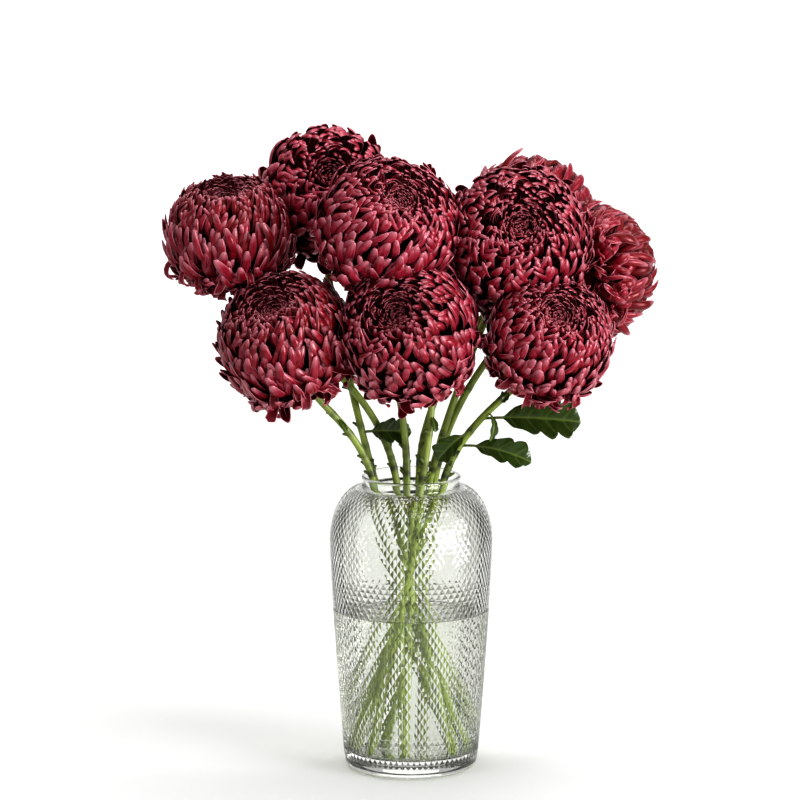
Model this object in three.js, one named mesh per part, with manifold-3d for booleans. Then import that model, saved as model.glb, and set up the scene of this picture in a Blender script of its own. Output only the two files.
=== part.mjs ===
// Chrysanthemums in a jar: nine cut stems, each with one large incurved bloom, standing in a clear
// pressed-glass jar that is a little over half full of water.
// Millimetres, +Z up. The origin is the centre of the jar's flat underside. +X is to the right and
// +Y away from someone who looks at the front of the arrangement.

import * as THREE from 'three';
import { mergeVertices } from 'three/addons/utils/BufferGeometryUtils.js';
import Module from 'manifold-3d';

const wasm = await Module();
wasm.setup();

// The gap left between pieces that touch.
const GAP = 0.3;

// Jar.
const JAR_HEIGHT = 280;
const JAR_SIDES = 36;
const GLASS_WALL = 3;
const GLASS_FLOOR = 18;
const NECK_RADIUS = 45.7;
const NECK_FOOT_Z = 269;
const LIP_WIDTH = 3;
const BELLY_RADIUS = 76.3;
const BELLY_Z = 217;
const FOOT_ROUNDING = 9;
const RELIEF_ROWS = 18;
const RELIEF_HEIGHT = 1.2;

// Water.
const WATER_LEVEL = 154;

// Stems.
const STEM_RADIUS = 3.4;
const STEM_SIDES = 7;
const STEM_STEPS = 14;
const STEM_PULL = 0.45;
const NECK_BEND = 40;
const CALYX_HEIGHT = 11;
const CALYX_RADIUS = 14;
const STUB_LENGTH = 4;
const STUBS = 3;

// Blooms, in staggered rings of petals from the eye down to the calyx. Angles are in degrees from
// the bloom's axis, and reaches are shares of its radius.
const PETALS_AROUND = 12;
const PETAL_RINGS = 8;
const FIRST_RING_ANGLE = 8;
const LAST_RING_ANGLE = 150;
const CORE_REACH = 0.62;
const PETAL_WAIST_REACH = 0.89;
const PETAL_HALF_WIDTH = 11.5;
const PETAL_BACK = 5.5;
const PETAL_EDGE = 2.5;
const PETAL_HOLLOW = 0.03;
const INNER_CURL = -11;
const OUTER_CURL = 11;
const TURN_SCATTER = 0.12;
const ANGLE_SCATTER = 3;
const REACH_SCATTER = 0.07;
const PRESS_START = 0.64;
const PRESS_GAP = 0.6;

// Where each stem stands on the jar's floor and passes its rim, as [x, y], and where its bloom is
// and the way that the bloom's eye faces, as [x, y, z].
const FLOWERS = [
  {
    name: 'left', foot: [36, -34], rim: [-15, 6],
    bloom: [-168, 0, 505], faces: [-0.09, -0.23, 0.97], radius: 61,
  },
  {
    name: 'top_left', foot: [33, 22], rim: [-36, 12],
    bloom: [-79, 52, 540], faces: [0.13, -0.84, 0.53], radius: 65,
  },
  {
    name: 'top_middle', foot: [-6, -44], rim: [-4, -16],
    bloom: [-20, -42, 519], faces: [0.26, -0.58, 0.78], radius: 71,
  },
  {
    name: 'low_left', foot: [46, 8], rim: [-36, -12],
    bloom: [-114, -54, 416], faces: [-0.31, -0.46, 0.83], radius: 67,
  },
  {
    name: 'low_middle', foot: [-36, -34], rim: [10, -36],
    bloom: [-2, -76, 427], faces: [-0.32, -0.75, 0.57], radius: 67,
  },
  {
    name: 'top_right', foot: [-45, 18], rim: [19, 1],
    bloom: [97, -24, 504], faces: [0.09, -0.86, 0.5], radius: 72,
  },
  {
    name: 'far_right', foot: [-24, 37], rim: [24, 16],
    bloom: [169, 52, 467], faces: [0.62, 0.75, 0.22], radius: 65,
  },
  {
    name: 'low_right', foot: [-48, -9], rim: [31, -22],
    bloom: [126, -64, 420], faces: [0.26, -0.66, 0.71], radius: 61,
  },
  {
    name: 'back', foot: [-4, 44], rim: [8, 30],
    bloom: [112, 94, 509], faces: [0.1, 0.78, 0.62], radius: 66,
  },
];

// Leaves. share is the place along the stem above the rim, tip is the way from there to the leaf's
// tip, and up is the way that its upper face looks.
const LEAF_THICKNESS = 0.9;
const PETIOLE_SHARE = 0.22;
const PETIOLE_HALF_WIDTH = 1.4;
const LOBE_DEPTH = 0.4;
const LEAVES = [
  { stem: 'low_right', share: 0.46, tip: [92, -18, 0], up: [0, -0.85, 0.5], width: 44, lobes: 5, arch: 7 },
  { stem: 'low_right', share: 0.24, tip: [66, -20, -12], up: [0.2, -0.8, 0.6], width: 31, lobes: 4, arch: 9 },
  { stem: 'low_right', share: 0.36, tip: [-31, -10, -26], up: [-0.2, -0.8, 0.5], width: 25, lobes: 3, arch: 5 },
  { stem: 'low_right', share: 0.52, tip: [2, -15, -25], up: [0.5, -0.9, 0], width: 9, lobes: 2, arch: 9 },
  { stem: 'top_left', share: 0.15, tip: [46, -17, 3], up: [0, -0.95, 0.35], width: 27, lobes: 3, arch: 7 },
];

const glass = new THREE.MeshStandardMaterial({
  color: 0xe6ece8, roughness: 0.05, transparent: true, opacity: 0.35,
});
const water = new THREE.MeshStandardMaterial({
  color: 0xdfe9e2, roughness: 0.05, transparent: true, opacity: 0.5,
});
const stalk = new THREE.MeshStandardMaterial({ color: 0x7d9a4e, roughness: 0.6 });
const petal = new THREE.MeshStandardMaterial({ color: 0x8e1f38, roughness: 0.55 });

const group = new THREE.Group();

function addMesh(name, geometry, material) {
  const mesh = new THREE.Mesh(geometry, material);
  mesh.name = name;
  group.add(mesh);
}

// Meshes and solids.

function facets(points, triangles) {
  const geometry = new THREE.BufferGeometry();
  geometry.setFromPoints(points);
  geometry.setIndex(triangles);
  return geometry;
}

function toSolid(geometry) {
  geometry.deleteAttribute('normal');
  geometry.deleteAttribute('uv');
  const merged = mergeVertices(geometry, 1e-3);
  const mesh = new wasm.Mesh({
    numProp: 3,
    vertProperties: Float32Array.from(merged.attributes.position.array),
    triVerts: Uint32Array.from(merged.index.array),
  });
  return new wasm.Manifold(mesh);
}

function toGeometry(solid) {
  const mesh = solid.getMesh();
  const geometry = new THREE.BufferGeometry();
  geometry.setAttribute('position', new THREE.BufferAttribute(mesh.vertProperties, 3));
  geometry.setIndex(new THREE.BufferAttribute(mesh.triVerts, 1));
  return geometry;
}

// Every random draw comes from a seeded generator.
function seeded(seed) {
  let state = seed;
  return () => {
    state = (state * 1664525 + 1013904223) % 4294967296;
    return state / 4294967296;
  };
}

// Jar: a rounded foot, a wall that widens slowly, an elliptical shoulder and a straight neck.

function wallPoint(z, inset) {
  return new THREE.Vector2(BELLY_RADIUS - 0.0175 * (BELLY_Z - z) ** 1.25 - inset, z);
}

function shoulderPoint(degrees, inset) {
  const angle = THREE.MathUtils.degToRad(degrees);
  const wide = BELLY_RADIUS - NECK_RADIUS;
  const tall = NECK_FOOT_Z - BELLY_Z;
  const out = new THREE.Vector2(Math.cos(angle) / wide, Math.sin(angle) / tall).normalize();
  return new THREE.Vector2(
    NECK_RADIUS + wide * Math.cos(angle) - inset * out.x,
    BELLY_Z + tall * Math.sin(angle) - inset * out.y,
  );
}

// The relief's rows: stations at equal steps along the wall and the shoulder.
function reliefStations() {
  const points = [];
  for (let z = FOOT_ROUNDING; z < BELLY_Z; z += 16) {
    points.push(wallPoint(z, 0));
  }
  for (let degrees = 0; degrees <= 90; degrees += 15) {
    points.push(shoulderPoint(degrees, 0));
  }
  return new THREE.SplineCurve(points).getSpacedPoints(RELIEF_ROWS);
}

// The inside of the jar from its floor to the water level, drawn in by a margin.
function insideStations(margin) {
  const floor = GLASS_FLOOR + margin;
  const edge = wallPoint(floor + FOOT_ROUNDING, GLASS_WALL + margin);
  const stations = [];
  for (const degrees of [0, 45]) {
    const angle = THREE.MathUtils.degToRad(degrees);
    stations.push(new THREE.Vector2(
      edge.x - FOOT_ROUNDING * (1 - Math.sin(angle)),
      edge.y - FOOT_ROUNDING * Math.cos(angle),
    ));
  }
  stations.push(edge);
  stations.push(wallPoint(WATER_LEVEL / 2, GLASS_WALL + margin));
  stations.push(wallPoint(WATER_LEVEL, GLASS_WALL + margin));
  return stations;
}

// A closed surface of rings of points round the Z axis. In a ring with relief every other point is
// raised, and each quad is split between its two low points, so that these join up as a net.
function ringedSurface(rings) {
  const points = [];
  const triangles = [];
  rings.forEach(({ station, relief }, row) => {
    for (let side = 0; side < JAR_SIDES; side++) {
      const angle = 2 * Math.PI * side / JAR_SIDES;
      const raised = (side + row) % 2 === 0 ? relief : 0;
      const r = station.x + raised;
      points.push(new THREE.Vector3(r * Math.cos(angle), r * Math.sin(angle), station.y));
    }
  });
  const index = (row, side) => row * JAR_SIDES + side % JAR_SIDES;
  for (let row = 0; row < rings.length - 1; row++) {
    for (let side = 0; side < JAR_SIDES; side++) {
      const a = index(row, side);
      const b = index(row, side + 1);
      const c = index(row + 1, side + 1);
      const d = index(row + 1, side);
      if ((side + row) % 2 === 0) {
        triangles.push(a, b, d, b, c, d);
      } else {
        triangles.push(a, b, c, a, c, d);
      }
    }
  }
  const last = rings.length - 1;
  const low = points.push(new THREE.Vector3(0, 0, rings[0].station.y)) - 1;
  const high = points.push(new THREE.Vector3(0, 0, rings[last].station.y)) - 1;
  for (let side = 0; side < JAR_SIDES; side++) {
    triangles.push(low, index(0, side + 1), index(0, side));
    triangles.push(high, index(last, side), index(last, side + 1));
  }
  return facets(points, triangles);
}

const plain = (stations) => stations.map((station) => ({ station, relief: 0 }));

function makeJar() {
  const wallFoot = wallPoint(FOOT_ROUNDING, 0);
  const foot = [0, 45].map((degrees) => {
    const angle = THREE.MathUtils.degToRad(degrees);
    return new THREE.Vector2(
      wallFoot.x - FOOT_ROUNDING * (1 - Math.sin(angle)),
      FOOT_ROUNDING * (1 - Math.cos(angle)),
    );
  });
  const relief = reliefStations().map((station, row) => {
    const edge = row === 0 || row === RELIEF_ROWS;
    return { station, relief: edge ? 0 : RELIEF_HEIGHT };
  });
  const mouth = NECK_RADIUS - LIP_WIDTH;
  const lip = [
    [NECK_RADIUS, JAR_HEIGHT - 4],
    [NECK_RADIUS + 1, JAR_HEIGHT - 2],
    [NECK_RADIUS - 0.5, JAR_HEIGHT],
    [mouth + 1, JAR_HEIGHT],
    [mouth, JAR_HEIGHT - 2],
    [mouth, NECK_FOOT_Z - GLASS_WALL],
  ].map(([x, y]) => new THREE.Vector2(x, y));
  const shoulder = [70, 45, 22, 0].map((degrees) => shoulderPoint(degrees, GLASS_WALL));
  const inside = insideStations(0).reverse();
  return ringedSurface([
    ...plain(foot), ...relief, ...plain(lip), ...plain(shoulder), ...plain(inside),
  ]);
}

// Stems. Each is straight from the jar's floor to its rim, and bends over from there to the bloom.

function stemLine(flower) {
  const rim = new THREE.Vector3(...flower.rim, JAR_HEIGHT);
  const foot = new THREE.Vector3(...flower.foot, GLASS_FLOOR);
  const lean = rim.clone().sub(foot).normalize();
  const lift = GAP + STEM_RADIUS * Math.sqrt(1 - lean.z * lean.z);
  foot.addScaledVector(lean, lift / lean.z);
  return { foot, rim, lean };
}

function calyxBase(flower) {
  const bottom = -flower.radius * CORE_REACH * Math.cos(THREE.MathUtils.degToRad(LAST_RING_ANGLE));
  return flower.centre.clone().addScaledVector(flower.axis, -bottom - GAP - CALYX_HEIGHT);
}

function upperCurve(flower) {
  const { rim, lean } = stemLine(flower);
  const top = calyxBase(flower).addScaledVector(flower.axis, CALYX_HEIGHT / 2);
  const length = top.distanceTo(rim);
  return new THREE.CubicBezierCurve3(
    rim,
    rim.clone().addScaledVector(lean, length * STEM_PULL),
    top.clone().addScaledVector(flower.axis, -NECK_BEND),
    top,
  );
}

function tube(path, radius, steps) {
  const section = new THREE.Shape();
  for (let side = 0; side < STEM_SIDES; side++) {
    const angle = 2 * Math.PI * side / STEM_SIDES;
    const x = radius * Math.cos(angle);
    const y = radius * Math.sin(angle);
    if (side === 0) {
      section.moveTo(x, y);
    } else {
      section.lineTo(x, y);
    }
  }
  section.closePath();
  return new THREE.ExtrudeGeometry(section, { steps, extrudePath: path });
}

// The green cup under the bloom.
function calyx(flower) {
  const profile = [
    [0, 0], [STEM_RADIUS, 0], [CALYX_RADIUS * 0.75, CALYX_HEIGHT * 0.55],
    [CALYX_RADIUS, CALYX_HEIGHT], [0, CALYX_HEIGHT],
  ].map(([x, y]) => new THREE.Vector2(x, y));
  const geometry = new THREE.LatheGeometry(profile, 10);
  const up = new THREE.Vector3(0, 1, 0);
  geometry.applyQuaternion(new THREE.Quaternion().setFromUnitVectors(up, flower.axis));
  const base = calyxBase(flower);
  geometry.translate(base.x, base.y, base.z);
  return geometry;
}

// A leaf scar's stub: a small three-sided spike that points up and away from the stem.
function stub(curve, share, turn) {
  const at = curve.getPointAt(share);
  const along = curve.getTangentAt(share);
  const side = new THREE.Vector3(Math.cos(turn), Math.sin(turn), 0).cross(along).normalize();
  const geometry = new THREE.ConeGeometry(STEM_RADIUS * 0.6, STEM_RADIUS + STUB_LENGTH, 3);
  geometry.translate(0, (STEM_RADIUS + STUB_LENGTH) / 2, 0);
  const way = side.clone().addScaledVector(along, 0.5).normalize();
  geometry.applyQuaternion(new THREE.Quaternion().setFromUnitVectors(new THREE.Vector3(0, 1, 0), way));
  geometry.translate(at.x, at.y, at.z);
  return geometry;
}

// Half the leaf's width at a row: a petiole, then a blade whose odd rows are its lobes' tips.
function leafHalfWidth(leaf, row, rows) {
  const share = row / rows;
  if (share <= PETIOLE_SHARE) {
    return PETIOLE_HALF_WIDTH;
  }
  const along = (share - PETIOLE_SHARE) / (1 - PETIOLE_SHARE);
  const swell = Math.sin(Math.PI * Math.min(1, 0.16 + along * 0.8)) ** 0.7;
  const lobed = row % 2 === 0 ? 1 : 1 - LOBE_DEPTH;
  return Math.max(0.5, leaf.width / 2 * swell * lobed);
}

// A thin arched plate, three points across, with a row for each lobe's tip and each notch. Both
// faces are split alike.
function leafPlate(leaf, curve) {
  const root = curve.getPointAt(leaf.share);
  const way = new THREE.Vector3(...leaf.tip);
  const up = new THREE.Vector3(...leaf.up).normalize();
  const across = way.clone().cross(up).normalize();
  up.crossVectors(across, way).normalize();
  const rows = 2 * leaf.lobes + 3;
  const points = [];
  const triangles = [];
  for (let row = 0; row <= rows; row++) {
    const share = row / rows;
    const half = row === rows ? 0.5 : leafHalfWidth(leaf, row, rows);
    const rise = leaf.arch * 4 * share * (1 - share);
    const middle = root.clone().addScaledVector(way, share).addScaledVector(up, rise);
    for (const side of [-1, 0, 1]) {
      const point = middle.clone().addScaledVector(across, side * half);
      point.addScaledVector(up, Math.abs(side) * half * 0.2);
      points.push(point);
      points.push(point.clone().addScaledVector(up, -LEAF_THICKNESS));
    }
  }
  const top = (row, column) => row * 6 + column * 2;
  const under = (row, column) => top(row, column) + 1;
  for (let row = 0; row < rows; row++) {
    for (let column = 0; column < 2; column++) {
      const next = column + 1;
      triangles.push(top(row, column), top(row, next), top(row + 1, next));
      triangles.push(top(row, column), top(row + 1, next), top(row + 1, column));
      triangles.push(under(row, column), under(row + 1, next), under(row, next));
      triangles.push(under(row, column), under(row + 1, column), under(row + 1, next));
    }
    triangles.push(top(row, 0), top(row + 1, 0), under(row, 0));
    triangles.push(top(row + 1, 0), under(row + 1, 0), under(row, 0));
    triangles.push(top(row, 2), under(row, 2), top(row + 1, 2));
    triangles.push(top(row + 1, 2), under(row, 2), under(row + 1, 2));
  }
  for (const [row, flip] of [[0, false], [rows, true]]) {
    for (let column = 0; column < 2; column++) {
      const quad = [top(row, column), under(row, column), under(row, column + 1), top(row, column + 1)];
      const [a, b, c, d] = flip ? quad.reverse() : quad;
      triangles.push(a, b, c, a, c, d);
    }
  }
  return facets(points, triangles);
}

function makeStem(flower, random) {
  const { foot, rim } = stemLine(flower);
  const upper = upperCurve(flower);
  const path = new THREE.CurvePath();
  path.add(new THREE.LineCurve3(foot, rim));
  path.add(upper);
  let solid = toSolid(tube(path, STEM_RADIUS, STEM_STEPS)).add(toSolid(calyx(flower)));
  for (let count = 0; count < STUBS; count++) {
    const share = (count + 0.3 + 0.4 * random()) / (STUBS + 1);
    solid = solid.add(toSolid(stub(upper, share, 2 * Math.PI * random())));
  }
  for (const leaf of LEAVES.filter(({ stem }) => stem === flower.name)) {
    solid = solid.add(toSolid(leafPlate(leaf, upper)));
  }
  return toGeometry(solid);
}

// Water, with a plain hole for each stem.
function makeWater(flowers) {
  let solid = toSolid(ringedSurface(plain(insideStations(GAP))));
  const bore = (STEM_RADIUS + GAP) / Math.cos(Math.PI / STEM_SIDES);
  for (const flower of flowers) {
    const { foot, rim, lean } = stemLine(flower);
    const below = foot.clone().addScaledVector(lean, -4 * STEM_RADIUS);
    const hole = new THREE.LineCurve3(below, rim);
    solid = solid.subtract(toSolid(tube(hole, bore, 1)));
  }
  return toGeometry(solid);
}

// Blooms.

// How far a petal's tip is from the bloom's middle: less round the sunken eye and under the bloom.
function tipReach(degrees) {
  const rim = THREE.MathUtils.smoothstep(degrees, 0, 45);
  const skirt = THREE.MathUtils.smoothstep(degrees, 115, 165);
  return 0.8 + 0.2 * rim - 0.1 * skirt;
}

// Where two blooms meet, the petals of both are pressed back evenly to a plane between them.
function pressBack(point, flower, flowers) {
  for (const other of flowers) {
    const away = other.centre.clone().sub(flower.centre);
    const limit = away.length() * flower.radius / (flower.radius + other.radius) - PRESS_GAP;
    const reach = point.clone().sub(flower.centre).dot(away.normalize());
    const start = PRESS_START * limit;
    if (other !== flower && reach > start) {
      const room = limit - start;
      const pressed = start + room * (1 - Math.exp((start - reach) / room));
      point.addScaledVector(away, pressed - reach);
    }
  }
  return point;
}

// One closed surface: a core whose rhombic cells are each drawn out into a boat-shaped petal. The
// petals curl over the eye at the top and hang back over the calyx at the bottom.
function makeBloom(flower, flowers, random) {
  const points = [];
  const triangles = [];
  const upright = new THREE.Vector3(0, 0, 1);
  const turnToAxis = new THREE.Quaternion().setFromUnitVectors(upright, flower.axis);
  const put = (degrees, turn, reach) => {
    const angle = THREE.MathUtils.degToRad(degrees);
    const around = 2 * Math.PI * turn / PETALS_AROUND;
    const point = new THREE.Vector3(
      Math.sin(angle) * Math.cos(around), Math.sin(angle) * Math.sin(around), Math.cos(angle),
    );
    point.multiplyScalar(flower.radius * reach).applyQuaternion(turnToAxis).add(flower.centre);
    return points.push(pressBack(point, flower, flowers)) - 1;
  };
  const step = (LAST_RING_ANGLE - FIRST_RING_ANGLE) / (PETAL_RINGS + 1);
  const core = [];
  for (let ring = 0; ring <= PETAL_RINGS + 1; ring++) {
    core.push([]);
    for (let count = 0; count < PETALS_AROUND; count++) {
      core[ring].push(put(FIRST_RING_ANGLE + ring * step, count + ring / 2, CORE_REACH));
    }
  }
  const coreAt = (ring, count) => core[ring][(count + PETALS_AROUND) % PETALS_AROUND];
  for (let ring = 0; ring < PETAL_RINGS; ring++) {
    const outer = ring / (PETAL_RINGS - 1);
    const curl = THREE.MathUtils.lerp(INNER_CURL, OUTER_CURL, outer ** 1.3);
    const sag = THREE.MathUtils.lerp(1, 4, outer);
    for (let count = 0; count < PETALS_AROUND; count++) {
      const turn = count + ring / 2 + TURN_SCATTER * (random() - 0.5);
      const root = FIRST_RING_ANGLE + (ring + 1) * step + ANGLE_SCATTER * (random() - 0.5);
      const middle = root + sag;
      const tipAngle = root + curl + ANGLE_SCATTER * (random() - 0.5);
      const reach = tipReach(tipAngle) * (1 - REACH_SCATTER * random());
      const half = PETAL_HALF_WIDTH * PETALS_AROUND / 360;
      const bulge = PETAL_WAIST_REACH * tipReach(middle);
      const base = [
        coreAt(ring, count), coreAt(ring + 1, count),
        coreAt(ring + 2, count - 1), coreAt(ring + 1, count - 1),
      ];
      const waist = [
        put(middle - PETAL_EDGE, turn, bulge - PETAL_HOLLOW),
        put(middle - PETAL_EDGE, turn + half, bulge),
        put(middle + PETAL_BACK, turn, bulge),
        put(middle - PETAL_EDGE, turn - half, bulge),
      ];
      const tip = put(tipAngle, turn, reach);
      for (let corner = 0; corner < 4; corner++) {
        const next = (corner + 1) % 4;
        if (corner % 2 === 0) {
          triangles.push(base[corner], waist[corner], waist[next]);
          triangles.push(base[corner], waist[next], base[next]);
        } else {
          triangles.push(base[corner], waist[corner], base[next]);
          triangles.push(waist[corner], waist[next], base[next]);
        }
        triangles.push(waist[corner], tip, waist[next]);
      }
    }
  }
  closeCore(points, triangles, core, put);
  return facets(points, triangles);
}

// The core's small caps at the eye and over the calyx.
function closeCore(points, triangles, core, put) {
  const last = core.length - 1;
  const eye = put(0, 0, CORE_REACH * Math.cos(THREE.MathUtils.degToRad(FIRST_RING_ANGLE)));
  const seat = put(180, 0, -CORE_REACH * Math.cos(THREE.MathUtils.degToRad(LAST_RING_ANGLE)));
  for (let count = 0; count < PETALS_AROUND; count++) {
    const next = (count + 1) % PETALS_AROUND;
    triangles.push(eye, core[0][count], core[0][next]);
    triangles.push(core[0][next], core[0][count], core[1][count]);
    triangles.push(seat, core[last][next], core[last][count]);
    triangles.push(core[last][next], core[last - 1][next], core[last][count]);
  }
}

const flowers = FLOWERS.map((flower) => ({
  ...flower,
  centre: new THREE.Vector3(...flower.bloom),
  axis: new THREE.Vector3(...flower.faces).normalize(),
}));

addMesh('glass_jar', makeJar(), glass);
addMesh('water', makeWater(flowers), water);
flowers.forEach((flower, place) => {
  const random = seeded(place + 1);
  addMesh(`stem_${flower.name}`, makeStem(flower, random), stalk);
  addMesh(`bloom_${flower.name}`, makeBloom(flower, flowers, random), petal);
});

export default group;
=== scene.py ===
# Chrysanthemums in a jar: the looks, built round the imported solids.
# +Z is up, in the solids' own frame. The studio is in metres. The object is in millimetres, and MM
# turns them to metres.

import math

import bpy
import numpy as np
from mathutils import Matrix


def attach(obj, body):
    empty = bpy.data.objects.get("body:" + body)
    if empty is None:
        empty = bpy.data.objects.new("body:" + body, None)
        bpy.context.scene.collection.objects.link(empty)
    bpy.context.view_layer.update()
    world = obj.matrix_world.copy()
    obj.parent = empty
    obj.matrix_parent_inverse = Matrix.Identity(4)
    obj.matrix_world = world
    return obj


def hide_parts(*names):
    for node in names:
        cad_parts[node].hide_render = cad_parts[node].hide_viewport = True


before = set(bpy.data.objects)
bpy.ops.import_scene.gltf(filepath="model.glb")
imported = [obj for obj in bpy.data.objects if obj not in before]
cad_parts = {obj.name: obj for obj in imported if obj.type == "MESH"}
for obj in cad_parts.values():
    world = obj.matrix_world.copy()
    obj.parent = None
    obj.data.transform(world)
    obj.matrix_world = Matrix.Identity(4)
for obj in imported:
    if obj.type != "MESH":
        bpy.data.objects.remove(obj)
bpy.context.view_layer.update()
MM = 0.001


# Camera. A long lens about 4.5 m in front of the bouquet, looking down by 10 degrees, as in the
# photograph.
camera = bpy.data.objects.new("camera", bpy.data.cameras.new("camera"))
camera.data.lens = 219.96
camera.data.sensor_width = 36
camera.data.clip_end = 50
camera.location = (-0.0104, -4.5, 1.1527)
camera.rotation_euler = (math.radians(79.9), 0, 0)
bpy.context.scene.collection.objects.link(camera)
bpy.context.scene.camera = camera


# Studio. A white paper sweep that runs up behind the bouquet, and soft boxes: a large one on the
# right, one overhead, a weak one on the left, and one aimed at the paper.
PAPER_HALF_WIDTH = 0.8
PAPER_FRONT = -6.0
PAPER_BACK = 2.6
SWEEP_RADIUS = 0.9
PAPER_TOP = 0.85
PAPER_WHITE, PAPER_MOTTLE = "#e1e1e0", "#dededd"
MOTTLES_PER_METRE = 3.0
SOFT_BOXES = [
    # name, place, aim, width, height, watts
    ("right_box", (2.15, -1.6, 0.52), (0.0, 0.0, 0.43), 1.4, 1.0, 67),
    ("top_box", (0.5, -0.7, 2.4), (0.0, 0.1, 0.0), 1.6, 1.2, 17),
    ("left_box", (-2.2, -1.6, 1.2), (0.0, 0.0, 0.4), 1.0, 1.4, 8),
    ("paper_box", (0.0, 0.55, 2.9), (0.0, 2.5, 0.9), 3.0, 0.6, 56),
]
ROOM_LIGHT = "#f4f5f6"
ROOM_STRENGTH = 0.46


def linear(colour, alpha=1.0):
    """An sRGB hex colour as linear values."""
    shares = [int(colour[first:first + 2], 16) / 255 for first in (1, 3, 5)]
    return [s / 12.92 if s <= 0.04045 else ((s + 0.055) / 1.055) ** 2.4 for s in shares] + [alpha]


def add_node(tree, kind, sockets=(), **settings):
    """Adds a node. sockets gives an input a value or an output to link, and settings are its own."""
    node = tree.nodes.new(kind)
    for name, value in settings.items():
        setattr(node, name, value)
    for socket, value in dict(sockets).items():
        if isinstance(value, bpy.types.NodeSocket):
            tree.links.new(value, node.inputs[socket])
        else:
            node.inputs[socket].default_value = value
    return node


def new_material(name):
    """An empty material, its node tree and its output node."""
    material = bpy.data.materials.new(name)
    material.use_nodes = True
    material.node_tree.nodes.clear()
    return material, material.node_tree, material.node_tree.nodes.new("ShaderNodeOutputMaterial")


def add_mesh(name, points, faces, material):
    """A smooth mesh object. faces holds arrays of equally long faces."""
    mesh = bpy.data.meshes.new(name)
    mesh.from_pydata(np.asarray(points, float).tolist(), [], [f for part in faces for f in part.tolist()])
    mesh.shade_smooth()
    mesh.materials.append(material)
    piece = bpy.data.objects.new(name, mesh)
    bpy.context.scene.collection.objects.link(piece)
    return piece


def grid_faces(rows, columns, closed=False):
    """The quads of a grid of points, row by row. A closed grid's last column joins its first."""
    row, column = np.meshgrid(np.arange(rows - 1), np.arange(columns - (not closed)), indexing="ij")
    after = (column + 1) % columns
    quads = [row * columns + column, row * columns + after,
             (row + 1) * columns + after, (row + 1) * columns + column]
    return np.stack(quads, -1).reshape(-1, 4)


matt_paper, tree, output = new_material("matt white paper")
# Paper is matt, and barely mottled.
mottle = add_node(tree, "ShaderNodeTexNoise", {"Scale": MOTTLES_PER_METRE, "Detail": 2.0})
tone = add_node(tree, "ShaderNodeMix", {
    0: mottle.outputs[0], 6: linear(PAPER_WHITE), 7: linear(PAPER_MOTTLE)}, data_type="RGBA")
shader = add_node(tree, "ShaderNodeBsdfPrincipled", {
    "Base Color": tone.outputs[2], "Roughness": 0.9, "Specular IOR Level": 0.2})
tree.links.new(shader.outputs[0], output.inputs[0])

turns = np.linspace(0, math.pi / 2, 24)
sweep = [[PAPER_BACK - SWEEP_RADIUS + SWEEP_RADIUS * math.sin(t), SWEEP_RADIUS * (1 - math.cos(t))]
         for t in turns]
paper_line = [[PAPER_FRONT, 0.0]] + sweep + [[PAPER_BACK, PAPER_TOP]]
paper_points = [[side * PAPER_HALF_WIDTH, y, z] for y, z in paper_line for side in (1, -1)]
paper = add_mesh("paper", paper_points, [grid_faces(len(paper_line), 2)], matt_paper)

for name, where, aim, width, height, watts in SOFT_BOXES:
    lamp = bpy.data.lights.new(name, "AREA")
    lamp.shape, lamp.size, lamp.size_y, lamp.energy = "RECTANGLE", width, height, watts
    box = bpy.data.objects.new(name, lamp)
    box.location = where
    away = box.location - type(box.location)(aim)
    box.rotation_euler = away.to_track_quat("Z", "Y").to_euler()
    bpy.context.scene.collection.objects.link(box)

room = bpy.data.worlds.new("room")
room.use_nodes = True
room.node_tree.nodes["Background"].inputs["Color"].default_value = linear(ROOM_LIGHT)
room.node_tree.nodes["Background"].inputs["Strength"].default_value = ROOM_STRENGTH
bpy.context.scene.world = room
bpy.context.scene.view_settings.view_transform = "Standard"
bpy.context.scene.view_settings.look = "High Contrast"


# Jar. Clear pressed soda-lime glass in one piece: a thick floor, a slowly widening wall covered in
# small raised diamonds, a rounded shoulder, and a plain neck with a fire-polished lip.
JAR_HEIGHT = 280.0
NECK_RADIUS = 45.7
NECK_FOOT_Z = 269.0
BELLY_RADIUS = 76.3
BELLY_Z = 217.0
WALL_TAPER = 0.0175
WALL_TAPER_POWER = 1.25
GLASS_WALL = 3.0
GLASS_FLOOR = 18.0
FOOT_ROUNDING = 9.0
FOOT_STEPS = 8
DIAMONDS_ROUND = 72
DIAMOND_HEIGHT = 9.8
DIAMOND_RELIEF = 0.6
STEPS_PER_DIAMOND = 4
GLASS_TINT, GLASS_SHADE = "#eff0ec", "#cdcfc9"
GLASS_WAVE = 12.5


def wall_radius(z, inset=0.0):
    return BELLY_RADIUS - WALL_TAPER * (BELLY_Z - z) ** WALL_TAPER_POWER - inset


def shoulder_point(degrees, inset=0.0):
    """A point of the shoulder's quarter ellipse, from the belly at 0 degrees to the neck at 90."""
    turn = math.radians(degrees)
    wide, tall = BELLY_RADIUS - NECK_RADIUS, NECK_FOOT_Z - BELLY_Z
    out = np.array([math.cos(turn) / wide, math.sin(turn) / tall])
    out /= np.linalg.norm(out)
    return [NECK_RADIUS + wide * math.cos(turn) - inset * out[0],
            BELLY_Z + tall * math.sin(turn) - inset * out[1]]


def rounded_foot(floor, inset):
    """The quarter round between a floor and the wall, from the floor up."""
    edge_z = floor + FOOT_ROUNDING
    edge = wall_radius(edge_z, inset)
    return [[edge - FOOT_ROUNDING * (1 - math.sin(t)), edge_z - FOOT_ROUNDING * math.cos(t)]
            for t in np.linspace(0, math.pi / 2, FOOT_STEPS, endpoint=False)]


def line_lengths(line):
    """How far along a line each of its points is."""
    return np.concatenate([[0], np.cumsum(np.linalg.norm(np.diff(line, axis=0), axis=1))])


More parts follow.
